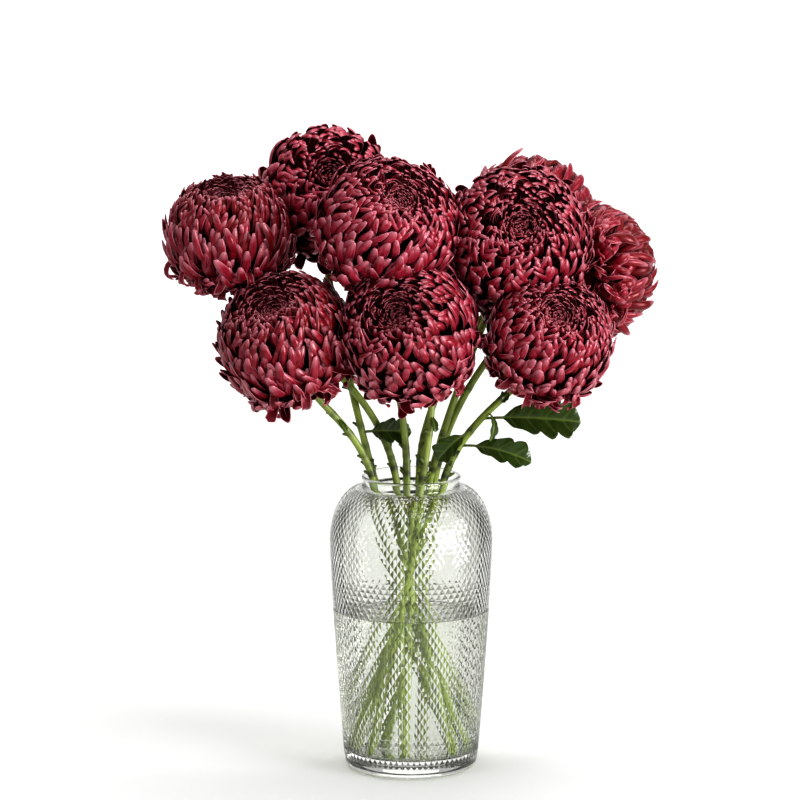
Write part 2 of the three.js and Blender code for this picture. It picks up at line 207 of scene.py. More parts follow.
def evenly(line, step):
    """Points along a line at even steps of about the given length."""
    line = np.asarray(line, float)
    lengths = line_lengths(line)
    places = np.linspace(0, lengths[-1], int(round(lengths[-1] / step)) + 1)
    return np.stack([np.interp(places, lengths, line[:, k]) for k in range(line.shape[1])], -1)


def turned(profile, columns, raised=0.0):
    """Points of a profile turned round the Z axis, with an outward rise for each point."""
    profile = np.asarray(profile, float)
    way = np.gradient(profile, axis=0)
    way /= np.linalg.norm(way, axis=1, keepdims=True)
    around = 2 * math.pi * np.arange(columns) / columns
    radius = profile[:, :1] + raised * way[:, 1:] + 0 * around
    height = profile[:, 1:] - raised * way[:, :1] + 0 * around
    return np.stack([radius * np.cos(around), radius * np.sin(around), height], -1)


def capped(points):
    """A closed surface from rings of points, with a middle point at each end."""
    rows, columns = points.shape[:2]
    ends = [points[0].mean(0), points[-1].mean(0)]
    corner = np.arange(columns)
    after = (corner + 1) % columns
    low, high = rows * columns, rows * columns + 1
    last = (rows - 1) * columns
    faces = [grid_faces(rows, columns, closed=True),
             np.stack([0 * corner + low, after, corner], -1),
             np.stack([0 * corner + high, last + corner, last + after], -1)]
    return np.concatenate([points.reshape(-1, 3), ends]), faces


def let_lamps_through(tree, output, shader, shade):
    """Lets the lamps' light pass a clear material to what stands behind it, dimmed to a shade."""
    light_path = add_node(tree, "ShaderNodeLightPath")
    passing = add_node(tree, "ShaderNodeBsdfTransparent", {"Color": linear(shade)})
    mixed = add_node(tree, "ShaderNodeMixShader", {
        0: light_path.outputs["Is Shadow Ray"], 1: shader.outputs[0], 2: passing.outputs[0]})
    tree.links.new(mixed.outputs[0], output.inputs[0])


underside = [[2, 1.0], [30, 0.9], [42, 0.4], [48, 0]] + rounded_foot(0, 0)
wall_line = [[wall_radius(z), z] for z in np.arange(FOOT_ROUNDING, BELLY_Z, 2.0)]
wall_line += [shoulder_point(degrees) for degrees in np.arange(0, 90.1, 3)]
outside = evenly(wall_line, DIAMOND_HEIGHT / STEPS_PER_DIAMOND)
lip = [[NECK_RADIUS + out, JAR_HEIGHT - down] for out, down in (
    (0, 9), (0, 4), (0.7, 2.8), (0.9, 1.6), (0.4, 0.6),
    (-0.6, 0), (-1.6, 0.1), (-2.6, 0.8), (-GLASS_WALL, 2.4), (-GLASS_WALL, 10))]
inside = [shoulder_point(degrees, GLASS_WALL) for degrees in range(90, -1, -5)]
inside += [[wall_radius(z, GLASS_WALL), z]
           for z in np.arange(BELLY_Z - 7, GLASS_FLOOR + FOOT_ROUNDING + 2, -8.0)]
inside += rounded_foot(GLASS_FLOOR, GLASS_WALL)[::-1] + [[30, GLASS_FLOOR], [2, GLASS_FLOOR]]

# Each diamond is a low four-sided pyramid. The relief fades out over one diamond at both ends.
columns = DIAMONDS_ROUND * STEPS_PER_DIAMOND
row, column = np.meshgrid(np.arange(len(outside)), np.arange(columns), indexing="ij")
slopes = [np.abs(slant / STEPS_PER_DIAMOND % 1 - 0.5) * 2 for slant in (row + column, row - column)]
rise = DIAMOND_RELIEF * np.minimum(*slopes)
rise *= np.clip(np.minimum(row, len(outside) - 1 - row) / STEPS_PER_DIAMOND, 0, 1)
jar_points, jar_faces = capped(np.concatenate([
    turned(underside, columns), turned(outside, columns, rise), turned(lip, columns),
    turned(inside, columns)]))

clear_glass, tree, output = new_material("pressed soda-lime glass")
# Pressed glass is bright and colourless with a faint grey-green cast, and its skin is very slightly
# wavy from the mould, here over about 12 mm. Light passes it on its way to the stems.
coordinates = add_node(tree, "ShaderNodeTexCoord")
waves = add_node(tree, "ShaderNodeTexNoise", {
    "Vector": coordinates.outputs["Object"], "Scale": 1000 / GLASS_WAVE, "Detail": 1.0})
ripple = add_node(tree, "ShaderNodeBump", {
    "Height": waves.outputs[0], "Strength": 0.06, "Distance": 2 * MM})
shader = add_node(tree, "ShaderNodeBsdfPrincipled", {
    "Base Color": linear(GLASS_TINT), "Roughness": 0.01, "IOR": 1.5, "Transmission Weight": 1.0,
    "Normal": ripple.outputs[0]})
let_lamps_through(tree, output, shader, GLASS_SHADE)

# The wall's quads are cut along the pyramids' edges, and their facets are shaded flat.
first_row = len(underside)
quads, caps = jar_faces[0], jar_faces[1:]
corner_row, corner_column = quads[:, 0] // columns - first_row, quads[:, 0] % columns
on_wall = (corner_row >= 0) & (corner_row < len(outside) - 1)
cut_across = (corner_row + corner_column + 1) % (STEPS_PER_DIAMOND // 2) == 0
wall_cut_across, wall_cut_along = quads[on_wall & cut_across], quads[on_wall & ~cut_across]
facets = [wall_cut_across[:, [0, 1, 3]], wall_cut_across[:, [1, 2, 3]],
          wall_cut_along[:, [0, 1, 2]], wall_cut_along[:, [0, 2, 3]]]
jar = add_mesh("jar", jar_points * MM, facets + [quads[~on_wall]] + caps, clear_glass)
smooth = np.ones(len(jar.data.polygons), bool)
smooth[:sum(len(part) for part in facets)] = False
jar.data.polygons.foreach_set("use_smooth", smooth)
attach(jar, "root")
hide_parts("glass_jar")


# Water. Clear tap water, up to a little over half of the jar. Its surface climbs the glass by a
# couple of millimetres. Its side lies just inside the glass, so that no film of air shows.
WATER_LEVEL = 154.0
WATER_IN_GLASS = 0.2
CLIMB = 2.2
CLIMB_REACH = 1.6
WATER_TINT, WATER_SHADE = "#fcfdfa", "#f0f1ec"
WATER_WAVE = 33.3

water_floor, water_inset = GLASS_FLOOR - WATER_IN_GLASS, GLASS_WALL - WATER_IN_GLASS
rim_radius = wall_radius(WATER_LEVEL, water_inset)
water_line = [[2, water_floor], [30, water_floor]] + rounded_foot(water_floor, water_inset)
water_line += [[wall_radius(z, water_inset), z]
               for z in np.arange(GLASS_FLOOR + FOOT_ROUNDING, WATER_LEVEL, 5.0)]
water_line += [[rim_radius, WATER_LEVEL]]
water_line += [[rim_radius - inward, WATER_LEVEL + CLIMB * (math.exp(-inward / CLIMB_REACH) - 1)]
               for inward in (0.6, 1.3, 2.2, 3.4, 5.0, 8.0, 14.0, 30.0, rim_radius - 2)]
water_points, water_faces = capped(turned(water_line, 144))

tap_water, tree, output = new_material("tap water")
# Still water with barely a ripple, over about 33 mm, clear with a trace of green from the stems.
coordinates = add_node(tree, "ShaderNodeTexCoord")
waves = add_node(tree, "ShaderNodeTexNoise", {
    "Vector": coordinates.outputs["Object"], "Scale": 1000 / WATER_WAVE, "Detail": 0.0})
ripple = add_node(tree, "ShaderNodeBump", {
    "Height": waves.outputs[0], "Strength": 0.02, "Distance": 2 * MM})
shader = add_node(tree, "ShaderNodeBsdfPrincipled", {
    "Base Color": linear(WATER_TINT), "Roughness": 0.0, "IOR": 1.333, "Transmission Weight": 1.0,
    "Normal": ripple.outputs[0]})
let_lamps_through(tree, output, shader, WATER_SHADE)

water = add_mesh("water_in_jar", water_points * MM, water_faces, tap_water)
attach(water, "root")
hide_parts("water")


# Stems. Green woody stalks, 6.8 mm thick, finely ribbed, with the stubs of the leaves that were
# stripped off them. They stand on the jar's floor and lean on its rim, and each carries one bloom
# on a cup of small green scales.
STEM_RADIUS = 3.4
MEAN_RADIUS = 0.97 * STEM_RADIUS
STEM_PULL = 0.45
STEM_AROUND = 20
STEM_STEP = 2.5
RIBS = 5
RIB_DEPTH = 0.035
RIB_TWIST = 0.4
TWIST_LENGTH = 37
NECK_BEND = 40
CALYX_HEIGHT = 11
CALYX_RADIUS = 14
CORE_REACH = 0.62
LAST_RING_ANGLE = 150
GAP = 0.3

# A joint's place is a share of the part above the rim, and below 0 it is inside the jar. Some
# joints are spread over that part. The crowded ones are given by a place and a spread.
SPREAD_JOINTS = 3
CROWDED_JOINTS = [(0.03, 0.04), (0.13, 0.08), (0.01, 0.03), (0.01, 0.03), (-0.12, -0.1), (-0.33, -0.1)]
JOINT_LENGTH = 3.0
JOINT_SWELL = 0.1
JOINT_SHADE = 0.6
STUB_SHADE = 0.75
SHORTEST_STUB = 3.0
STUB_SPREAD = 2.5

# The cup's profile, and its rings of scales: height on the cup, lean outwards, length
CUP_PROFILE = [[1, 0.5], [STEM_RADIUS, 0], [CALYX_RADIUS * 0.5, CALYX_HEIGHT * 0.3],
               [CALYX_RADIUS * 0.75, CALYX_HEIGHT * 0.55], [CALYX_RADIUS * 0.95, CALYX_HEIGHT * 0.95],
               [CALYX_RADIUS * 0.5, CALYX_HEIGHT]]
CUP_SCALES = [(1.5, 0.95, 9), (4, 0.75, 10), (6.5, 0.6, 9)]
SCALES_ROUND = 11
SCALE_WIDTH = 4.4
SCALE_THICKNESS = 0.7

STALK_GREENS = "#7a8c38", "#485a1c"
FIBRE_GREEN = "#909e4a"
JOINT_GREEN = "#333c14"
STALK_PATCH = 15.4
FIBRE_WIDTH, FIBRE_LENGTH = 0.714, 16.67

# name: foot on the jar's floor, place at its rim, the bloom's middle, where its eye looks, radius
FLOWERS = {
    "left": ((36, -34), (-15, 6), (-168, 0, 505), (-0.09, -0.23, 0.97), 61),
    "top_left": ((33, 22), (-36, 12), (-79, 52, 540), (0.13, -0.84, 0.53), 65),
    "top_middle": ((-6, -44), (-4, -16), (-20, -42, 519), (0.26, -0.58, 0.78), 71),
    "low_left": ((46, 8), (-36, -12), (-114, -54, 416), (-0.31, -0.46, 0.83), 67),
    "low_middle": ((-36, -34), (10, -36), (-2, -76, 427), (-0.32, -0.75, 0.57), 67),
    "top_right": ((-45, 18), (19, 1), (97, -24, 504), (0.09, -0.86, 0.5), 72),
    "far_right": ((-24, 37), (24, 16), (169, 52, 467), (0.62, 0.75, 0.22), 65),
    "low_right": ((-48, -9), (31, -22), (126, -64, 420), (0.26, -0.66, 0.71), 61),
    "back": ((-4, 44), (8, 30), (112, 94, 509), (0.1, 0.78, 0.62), 66),
}


def unit(vector):
    vector = np.asarray(vector, float)
    return vector / np.linalg.norm(vector, axis=-1, keepdims=True)


def square_to(axis):
    """Two directions that are square to an axis and to each other."""
    side = unit(np.cross(axis, [0.3, 0.9, 0.2]))
    return side, np.cross(axis, side)


def stem_lines(flower):
    """The straight part's two ends, the upper part's points up to the bloom, the cup's base and axis."""
    foot, rim, middle, faces, radius = flower
    foot, rim = np.array([*foot, GLASS_FLOOR], float), np.array([*rim, JAR_HEIGHT])
    lean, axis = unit(rim - foot), unit(faces)
    foot = foot + lean * (GAP + STEM_RADIUS * math.sqrt(1 - lean[2] ** 2)) / lean[2]
    under_middle = radius * CORE_REACH * math.cos(math.radians(180 - LAST_RING_ANGLE)) + GAP
    seat = np.array(middle) - axis * under_middle
    base = seat - axis * CALYX_HEIGHT
    top = base + axis * CALYX_HEIGHT / 2
    pull = np.linalg.norm(top - rim) * STEM_PULL
    t = np.linspace(0, 1, 80)[:, None]
    upper = ((1 - t) ** 3 * rim + 3 * (1 - t) ** 2 * t * (rim + lean * pull)
             + 3 * (1 - t) * t ** 2 * (top - axis * NECK_BEND) + t ** 3 * top)
    return foot, rim, upper, base, axis


def tube_rings(line, radii, around):
    """Rings of points round a line, turned as little as possible from one to the next."""
    line = np.asarray(line, float)
    along = unit(np.gradient(line, axis=0))
    side = unit(np.cross(along, [0.0, 1.0, 0.0]))
    other = np.cross(along, side)
    turn = 2 * math.pi * np.arange(around) / around
    ring = side[:, None] * np.cos(turn)[:, None] + other[:, None] * np.sin(turn)[:, None]
    return line[:, None] + ring * np.asarray(radii)[..., None]


def merge(parts):
    """Several (points, faces) as one."""
    points, faces, count = [], [], 0
    for part_points, part_faces in parts:
        points.append(np.asarray(part_points).reshape(-1, 3))
        faces += [part + count for part in part_faces]
        count += len(points[-1])
    return np.concatenate(points), faces


def curve_place(line, share):
    """The point at a share of a line's length, and the line's direction there."""
    lengths = line_lengths(line)
    at = [np.array([np.interp(min(max(s, 0), 1) * lengths[-1], lengths, line[:, k]) for k in range(3)])
          for s in (share, share - 0.01, share + 0.01)]
    return at[0], unit(at[2] - at[1])


def seeded(seed):
    """The same even random numbers that the solids are drawn from."""
    state = seed
    while True:
        state = (state * 1664525 + 1013904223) % 4294967296
        yield state / 4294967296


def stem_joints(draws):
    """Each joint's share of the part above the rim, and which way round the stem its stub points."""
    joints = []
    for count in range(SPREAD_JOINTS):
        share = (count + 0.3 + 0.4 * next(draws)) / (SPREAD_JOINTS + 1)
        joints.append((share, 2 * math.pi * next(draws)))
    for share, spread in CROWDED_JOINTS:
        joints.append((share + spread * next(draws), 2 * math.pi * next(draws)))
    return joints


def leaf_stub(at, along, turn, length):
    """What is left of a stripped leaf: a short stalk on a swollen joint, cut off bluntly."""
    side = unit(np.cross([math.cos(turn), math.sin(turn), 0.0], along))
    way = unit(side + 0.6 * along)
    steps = np.array([0.3, 0.55, 0.75, 0.9, 1.0]) * (STEM_RADIUS + length)
    widths = np.array([2.3, 1.9, 1.3, 1.15, 0.8])
    line = at + way * steps[:, None] + along * (steps[:, None] / 8) ** 2
    return capped(tube_rings(line, widths[:, None] * np.ones(8), 8))


def cup_scale(start, axis, out, length, tilt):
    """One small green scale of the cup: a pointed, closed, slightly hollow plate."""
    across = np.cross(axis, out)
    rings = []
    for share, wide in ((0, 0.6), (0.3, 1), (0.65, 0.8), (0.9, 0.35), (1, 0.05)):
        middle = start + (out * math.sin(tilt) + axis * math.cos(tilt)) * length * share
        middle = middle + out * 1.5 * share ** 2
        half = SCALE_WIDTH / 2 * wide
        for skin, line in ((0, (1, 0, -1)), (1, (-1, 0, 1))):
            rings.append([middle + across * half * u + out * (SCALE_THICKNESS * skin - 0.6 * u ** 2 * wide)
                          for u in line])
    return capped(np.array(rings).reshape(-1, 6, 3))


stalk_green, tree, output = new_material("chrysanthemum stalk")
# A fresh stalk is yellow-green and waxy with fine lengthwise fibres, paler where the light strikes,
# with dark olive at the joints, patchy over about 15 mm.
coordinates = add_node(tree, "ShaderNodeTexCoord")
patches = add_node(tree, "ShaderNodeTexNoise", {
    "Vector": coordinates.outputs["Object"], "Scale": 1000 / STALK_PATCH, "Detail": 3.0})
stretched = add_node(tree, "ShaderNodeMapping", {
    "Vector": coordinates.outputs["Object"],
    "Scale": (1000 / FIBRE_WIDTH, 1000 / FIBRE_WIDTH, 1000 / FIBRE_LENGTH)})
fibres = add_node(tree, "ShaderNodeTexNoise", {"Vector": stretched.outputs[0], "Scale": 1.0, "Detail": 2.0})
patchy = add_node(tree, "ShaderNodeMapRange", {0: patches.outputs[0], 1: 0.35, 2: 0.7})
green = add_node(tree, "ShaderNodeMix", {
    0: patchy.outputs[0], 6: linear(STALK_GREENS[0]), 7: linear(STALK_GREENS[1])}, data_type="RGBA")
fibred = add_node(tree, "ShaderNodeMix", {
    0: fibres.outputs[0], 6: green.outputs[2], 7: linear(FIBRE_GREEN)}, data_type="RGBA")
at_joint = add_node(tree, "ShaderNodeAttribute", attribute_name="joint")
jointed = add_node(tree, "ShaderNodeMix", {
    0: at_joint.outputs["Fac"], 6: fibred.outputs[2], 7: linear(JOINT_GREEN)}, data_type="RGBA")
grooves = add_node(tree, "ShaderNodeBump", {
    "Height": fibres.outputs[0], "Strength": 0.35, "Distance": 0.4 * MM})
shader = add_node(tree, "ShaderNodeBsdfPrincipled", {
    "Base Color": jointed.outputs[2], "Roughness": 0.42, "Normal": grooves.outputs[0]})
tree.links.new(shader.outputs[0], output.inputs[0])

stem_upper = {}
for seed, (name, flower) in enumerate(FLOWERS.items(), 1):
    foot, rim, upper, base, axis = stem_lines(flower)
    stem_upper[name] = upper
    straight = foot + (rim - foot) * np.linspace(0, 1, 110, endpoint=False)[:, None]
    whole = np.concatenate([straight, upper])
    whole_length, upper_length = line_lengths(whole)[-1], line_lengths(upper)[-1]
    line = evenly(whole, STEM_STEP)
    run = np.arange(len(line)) * STEM_STEP
    draws = seeded(seed)

    # The joints and their stubs.
    stubs, swell, shade = [], np.ones(len(line)), np.zeros(len(line))
    for share, turn in stem_joints(draws):
        where = whole_length - upper_length * (1 - share)
        near = np.exp(-((run - where) / JOINT_LENGTH) ** 2)
        swell += JOINT_SWELL * near
        shade += JOINT_SHADE * near
        at, along = curve_place(whole, where / whole_length)
        stubs.append(leaf_stub(at, along, turn, SHORTEST_STUB + STUB_SPREAD * next(draws)))

    # The ribbed stalk.
    turn = 2 * math.pi * np.arange(STEM_AROUND) / STEM_AROUND
    ribs = 1 + RIB_DEPTH * np.cos(RIBS * turn + RIB_TWIST * np.sin(run / TWIST_LENGTH)[:, None])
    radii = MEAN_RADIUS * ribs * np.minimum(swell, 1 + JOINT_SWELL)[:, None]
    stalk = capped(tube_rings(line, radii, STEM_AROUND))

    # The cup and its scales.
    side, other = square_to(axis)
    cup_points, cup_faces = capped(turned(CUP_PROFILE, 24))
    cup = [(cup_points @ np.stack([side, other, axis]) + base, cup_faces)]
    for ring, (height, tilt, length) in enumerate(CUP_SCALES):
        for count in range(SCALES_ROUND):
            angle = 2 * math.pi * (count + ring / 2) / SCALES_ROUND
            out = side * math.cos(angle) + other * math.sin(angle)
            start = base + axis * height + out * (3.2 + height * 0.9)
            cup.append(cup_scale(start, axis, out, length, tilt))

    points, faces = merge([stalk] + stubs + cup)
    stem = add_mesh("stalk_" + name, points * MM, faces, stalk_green)
    joint = np.zeros(len(points))
    joint[:len(line) * STEM_AROUND] = np.repeat(np.minimum(shade, 1), STEM_AROUND)
    first_stub = len(stalk[0])
    joint[first_stub:first_stub + sum(len(stub) for stub, _ in stubs)] = STUB_SHADE
    stem.data.attributes.new("joint", "FLOAT", "POINT").data.foreach_set("value", joint.astype(np.float32))
    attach(stem, "root")
    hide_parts("stem_" + name)


# Leaves. Thin lobed blades, dark and glossy above and paler below, each on a short stalk of its own
# that grows from a stem. The longest is about 95 mm.
LEAF_THICKNESS = 0.7
PETIOLE_SHARE = 0.2
PETIOLE_HALF_WIDTH = 1.3
LEAF_TIP_HALF_WIDTH = 0.15
LOBE_CUT = 0.42
TOOTH_CUT = 0.03
VEIN_HALF_WIDTH = 0.8
LEAF_ROWS = 72
LEAF_COLUMNS = 19
UPPER_GREENS = "#223410", "#445628"
UNDER_GREEN = "#7c8a4c"
VEIN_GREEN = "#66763e"
LEAF_PATCH = 6.25
LEAF_PUCKER = 1.923

# name: stem, share of its upper part, way to the tip, way that it faces, width, lobes, arch
LEAVES = {
    "leaf_wide": ("low_right", 0.46, (92, -18, 0), (0, -0.85, 0.5), 44, 4, 7),
    "leaf_glossy": ("low_right", 0.24, (66, -20, -12), (0.2, -0.8, 0.6), 31, 3, 9),
    "leaf_hanging": ("low_right", 0.36, (-31, -10, -26), (-0.2, -0.8, 0.5), 25, 3, 5),
    "leaf_twisted": ("low_right", 0.52, (2, -15, -25), (0.5, -0.9, 0), 9, 2, 9),
    "leaf_left": ("top_left", 0.15, (46, -17, 3), (0, -0.95, 0.35), 27, 3, 7),
    "leaf_bit_left": ("low_left", 0.56, (11, -6, -14), (0.6, -0.8, 0), 7, 1, 2),
    "leaf_bit_middle": ("top_middle", 0.3, (9, -8, 7), (0, -0.9, 0.4), 8, 1, 2),
    "leaf_bit_low": ("low_middle", 0.5, (4, -9, -16), (0.3, -0.9, 0), 8, 1, 2),
    "leaf_bit_high": ("top_right", 0.4, (-12, -9, 6), (0, -0.9, 0.4), 11, 1, 3),
    "leaf_bit_right": ("low_right", 0.72, (-9, -8, -9), (-0.3, -0.9, 0), 9, 1, 2),
    "leaf_pale": ("far_right", 0.6, (7, -12, -36), (0.2, -0.9, 0), 15, 1, 4),
}

leaf_green, tree, output = new_material("chrysanthemum leaf")
# The upper face is dark and waxy, patchy over about 6 mm and puckered over 2 mm, with a paler
# midrib and side veins. The lower face is a dull grey-green.
under_face = add_node(tree, "ShaderNodeAttribute", attribute_name="under")
on_vein = add_node(tree, "ShaderNodeAttribute", attribute_name="vein")
coordinates = add_node(tree, "ShaderNodeTexCoord")
patches = add_node(tree, "ShaderNodeTexNoise", {
    "Vector": coordinates.outputs["Object"], "Scale": 1000 / LEAF_PATCH, "Detail": 4.0})
cells = add_node(tree, "ShaderNodeTexVoronoi", {
    "Vector": coordinates.outputs["Object"], "Scale": 1000 / LEAF_PUCKER})
above = add_node(tree, "ShaderNodeMix", {
    0: patches.outputs[0], 6: linear(UPPER_GREENS[0]), 7: linear(UPPER_GREENS[1])}, data_type="RGBA")
both = add_node(tree, "ShaderNodeMix", {
    0: under_face.outputs["Fac"], 6: above.outputs[2], 7: linear(UNDER_GREEN)}, data_type="RGBA")
veined = add_node(tree, "ShaderNodeMix", {
    0: on_vein.outputs["Fac"], 6: both.outputs[2], 7: linear(VEIN_GREEN)}, data_type="RGBA")
puckers = add_node(tree, "ShaderNodeBump", {
    "Height": cells.outputs[0], "Strength": 0.25, "Distance": 0.6 * MM})
shader = add_node(tree, "ShaderNodeBsdfPrincipled", {
    "Base Color": veined.outputs[2], "Roughness": 0.2, "Normal": puckers.outputs[0]})
tree.links.new(shader.outputs[0], output.inputs[0])


def smooth_step(value, low, high):
    share = np.clip((value - low) / (high - low), 0, 1)
    return share * share * (3 - 2 * share)


def leaf_mesh(root, way, up, width, lobes, arch):
    """A closed thin blade, and its vein and under values."""
    way, up = np.array(way, float), np.array(up, float)
    across = unit(np.cross(way, up))
    up = unit(np.cross(across, way))
    share = np.linspace(0, 1, LEAF_ROWS)[:, None]
    u = np.linspace(-1, 1, LEAF_COLUMNS)[None, :]
    blade = np.clip((share - PETIOLE_SHARE) / (1 - PETIOLE_SHARE), 0, 1)
    waves = blade * (lobes + 0.5)

    # The outline: half the width along the midrib, with lobes and teeth cut into it.
    swell = np.sin(np.pi * np.clip(0.06 + 0.94 * blade ** 1.5, 0, 1)) ** 0.62
    lobe = np.abs(np.sin(np.pi * waves))
    between_ends = smooth_step(1 - blade, 0.02, 0.2) * smooth_step(blade, 0.1, 0.5)
    cut = 1 - LOBE_CUT * (1 - lobe ** 0.5) * between_ends - TOOTH_CUT * np.abs(np.sin(2 * np.pi * waves))
    half = np.maximum(PETIOLE_HALF_WIDTH * smooth_step(1 - share, 0.0, 0.03),
                      width / 2 * swell * cut * smooth_step(blade, 0.0, 0.12))
    half = np.maximum(half, LEAF_TIP_HALF_WIDTH)

    # The lobes point forward. The blade arches, folds up a little at the midrib and ripples.
    forward = 0.45 * np.abs(u) ** 1.3 * half / np.linalg.norm(way) * smooth_step(1 - share, 0, 0.15)
    ripple = 0.05 * half * np.abs(u) * np.cos(2 * np.pi * waves)
    rise = arch * 4 * share * (1 - share) + 0.2 * half * np.abs(u) + ripple
    rise = rise - 0.5 * np.exp(-(u * half / 0.9) ** 2) * (share > PETIOLE_SHARE)
    top = (root + way * (share + forward)[..., None] + across * (u * half)[..., None]
           + up * rise[..., None])
    thick = LEAF_THICKNESS * (1 - 0.5 * u ** 2) * np.ones_like(share)
    bottom = top - up * thick[..., None]
    points, faces = capped(np.concatenate([top, bottom[:, ::-1]], 1))

    midrib = np.exp(-(u * half / VEIN_HALF_WIDTH) ** 2) * np.ones_like(share)
    slant = (waves - 0.55 * np.abs(u) * half / (width / 2)) % 1
    side_vein = np.exp(-((slant - 0.5) / 0.05) ** 2) * (blade > 0.05) * (np.abs(u) < 0.85) * 0.6
    petiole = smooth_step(PETIOLE_SHARE + 0.04 - share, 0, 0.05) * np.ones_like(u)
    veins = np.clip(np.maximum(np.maximum(midrib, side_vein), petiole), 0, 1)
    under = np.concatenate([0 * veins, 1 + 0 * veins], 1)
    veins = np.concatenate([veins, veins[:, ::-1] * 0.7], 1)
    return points, faces, veins.ravel(), under.ravel()


for name, (stem_name, share, way, up, width, lobes, arch) in LEAVES.items():
    root, _ = curve_place(stem_upper[stem_name], share)
    points, faces, veins, under = leaf_mesh(root, way, up, width, lobes, arch)
    leaf = add_mesh(name, points * MM, faces, leaf_green)
    for attribute, values in (("vein", veins), ("under", under)):
        with_ends = np.concatenate([values, [0, 0]]).astype(np.float32)
        leaf.data.attributes.new(attribute, "FLOAT", "POINT").data.foreach_set("value", with_ends)
    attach(leaf, "root")
    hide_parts("stem_" + stem_name)


# Blooms. Each is one flower head of 500 to 900 petals round a hidden core: short dark ones curl
# over the eye, broader ones overlap like tiles, and the lowest hang over the cup. A petal is a
# hollow strap, crimson inside and dusty rose outside.
CORE_ANGLES = (178, 170, 160, 150, 140, 125, 110, 95, 80, 65, 50, 35, 20, 8, 2)
GOLDEN_TURN = math.radians(137.508)
LAST_PETAL_ANGLE = 150.0
PETAL_ROWS = 11
PETAL_COLUMNS = 5
USUAL_RADIUS = 65
WIDTH_AT_EYE = 3.1
WIDENING = 7.3
WIDEST_FROM = 85
CELL_AT_EYE = 0.85
CELL_GROWTH = 0.1
PETAL_SCALE = {"top_left": 1.22, "low_middle": 1.06, "top_right": 0.97, "far_right": 0.95, "back": 0.95}

# Degrees from the bloom's axis, and shares of its radius
LOOSE_FROM, LOOSE_BY = 50, 110
HANGING_FROM = 108
HANGING_SHARE = 0.3
HANGING_CURL = -16
STRAY_FROM = 60
STRAY_SHARE = 0.14
DEEPEST_ROOT = 166
ROOT_REACH = 0.3
FLATTEN = 0.95
FLAT_BLOOM = {"left": 1.02, "top_middle": 0.87, "far_right": 0.87, "back": 0.8}
USUAL_SAG = 0.2
SAG = {"top_left": 0.38, "left": 0.1}
PRESS_START = 0.8
INTERLEAVED = 20.0

PETAL_HOLLOW = 60
THINNEST_HALF_WIDTH = 0.2
EDGE_THICKNESS = 0.32
MIDDLE_THICKNESS = 0.35
INSIDE_TONE = 0.85
# Per bloom, how much paler or darker the outsides of its petals are. This is partly each bloom's own colour
# and partly painted light and shade: top_left is painted lighter where it lies in the shade of top_middle,
# and far_right darker where the key light strikes it.
BLOOM_TONE_AND_PAINTED_LIGHT = {"left": -0.35, "top_left": 0.85, "top_middle": 0.05, "low_left": -0.35,
              "low_middle": -0.15, "far_right": -0.6, "low_right": -0.1, "back": -0.4}
OUTSIDE_DEEP, OUTSIDE_PALE = "#6e0318", "#982a3e"
STREAK, BASE_AND_GAP_SHADE = "#a43a4e", "#64000c"
INSIDE_DEEP, INSIDE_PALE = "#4c020e", "#7c0e20"
MARGIN_AND_EDGE_HIGHLIGHT, TIP_AND_HIGHLIGHT = "#d08c98", "#d0909c"
SHINE = "#ffb8c0"
VEINS_PER_HALF_WIDTH = 4.0
STREAKS_PER_LENGTH = 2.5
STREAKS_APART = 37.0

petal_skin, tree, output = new_material("chrysanthemum petal")
# A petal's inside is dark velvety crimson. Its outside is paler and dusty, with fine lengthwise
# veins about 1 mm apart, a deep red base that also paints the shade deep between the petals, a
# pale margin and tip that also paint highlights where edges and tips catch the light, and a soft
# shine near the tip. Each bloom's outside is shifted paler or darker, which partly paints light
# and shade.
spot = add_node(tree, "ShaderNodeAttribute", attribute_name="petal_place")
inside_face = add_node(tree, "ShaderNodeAttribute", attribute_name="inside")
parts_of_spot = add_node(tree, "ShaderNodeSeparateXYZ", {0: spot.outputs["Vector"]})
across_share, along_share, draw = parts_of_spot.outputs
streak_scaled = add_node(tree, "ShaderNodeVectorMath", {
    0: spot.outputs["Vector"], 1: (VEINS_PER_HALF_WIDTH, STREAKS_PER_LENGTH, STREAKS_APART)},
    operation="MULTIPLY")
streaks = add_node(tree, "ShaderNodeTexNoise", {
    "Vector": streak_scaled.outputs[0], "Scale": 1.0, "Detail": 2.0})
# The outside's tone and its streaks follow each petal's draw, which per bloom partly paints light and
# shade.
outside_tone = add_node(tree, "ShaderNodeMix", {
    0: draw, 6: linear(OUTSIDE_DEEP), 7: linear(OUTSIDE_PALE)},
    data_type="RGBA", clamp_factor=False, clamp_result=True)
streak_amount = add_node(tree, "ShaderNodeMapRange", {0: streaks.outputs[0], 1: 0.4, 2: 0.75})
streak_share = add_node(tree, "ShaderNodeMapRange", {0: draw, 1: -0.4, 2: 0.6, 3: 0.1, 4: 0.9})
streaking = add_node(tree, "ShaderNodeMath", {
    0: streak_amount.outputs[0], 1: streak_share.outputs[0]}, operation="MULTIPLY")
streaked = add_node(tree, "ShaderNodeMix", {
    0: streaking.outputs[0], 6: outside_tone.outputs[2], 7: linear(STREAK)}, data_type="RGBA")
